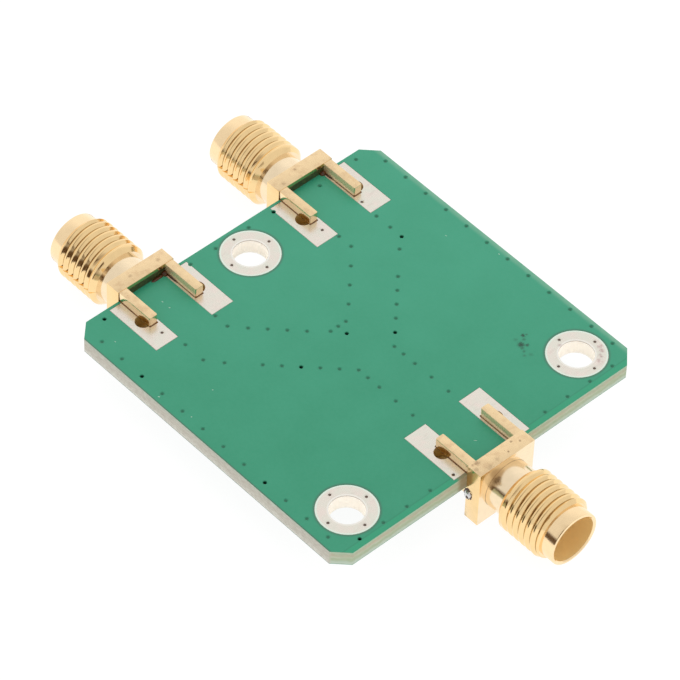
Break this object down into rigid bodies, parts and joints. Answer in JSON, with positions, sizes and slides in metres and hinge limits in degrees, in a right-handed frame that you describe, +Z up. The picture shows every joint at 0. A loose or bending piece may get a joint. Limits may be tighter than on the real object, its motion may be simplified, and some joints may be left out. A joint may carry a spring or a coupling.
{
  "type": "rf power splitter",
  "caption": "Small square green circuit board that divides a radio-frequency signal between outputs, with threaded gold coaxial jacks on opposite edges and ringed mounting holes.",
  "frame": {"origin": "middle of the board's outline, on the level of the lower edges of the jack flanges", "axes": "+X from the output edge to the input edge, +Z up through the ground face that carries no parts"},
  "size_m": [0.0544, 0.035, 0.0064],
  "materials": {
    "laminate": "rough cut glass-fibre laminate",
    "mask": "satin green solder mask",
    "via": "plugged via",
    "tin": "tinned copper",
    "solder": "bright solder",
    "gold": "satin gold plating",
    "insulator": "turned PTFE",
    "resistor": "glazed chip"
  },
  "bodies": {
    "root": {"laminate": "laminate", "ground_mask": "mask", "component_mask": "mask", "upper_rings": "tin", "lower_rings": "tin", "input_upper_pads": "tin", "left_upper_pads": "tin", "right_upper_pads": "tin", "input_lower_pads": "tin", "left_lower_pads": "tin", "right_lower_pads": "tin", "lead_hole_barrels": "tin", "via_plugs": "via", "input_line": "tin", "left_line": "tin", "right_line": "tin", "star_pad": "tin", "input_resistor": "resistor", "left_resistor": "resistor", "right_resistor": "resistor", "input_resistor_caps": "solder", "left_resistor_caps": "solder", "right_resistor_caps": "solder", "input_shell": "gold", "left_shell": "gold", "right_shell": "gold", "input_insulator": "insulator", "left_insulator": "insulator", "right_insulator": "insulator", "input_contact": "gold", "left_contact": "gold", "right_contact": "gold", "input_leg_solder": "solder", "left_leg_solder": "solder", "right_leg_solder": "solder", "input_tail_solder": "solder", "left_tail_solder": "solder", "right_tail_solder": "solder"}
  },
  "joints": []
}
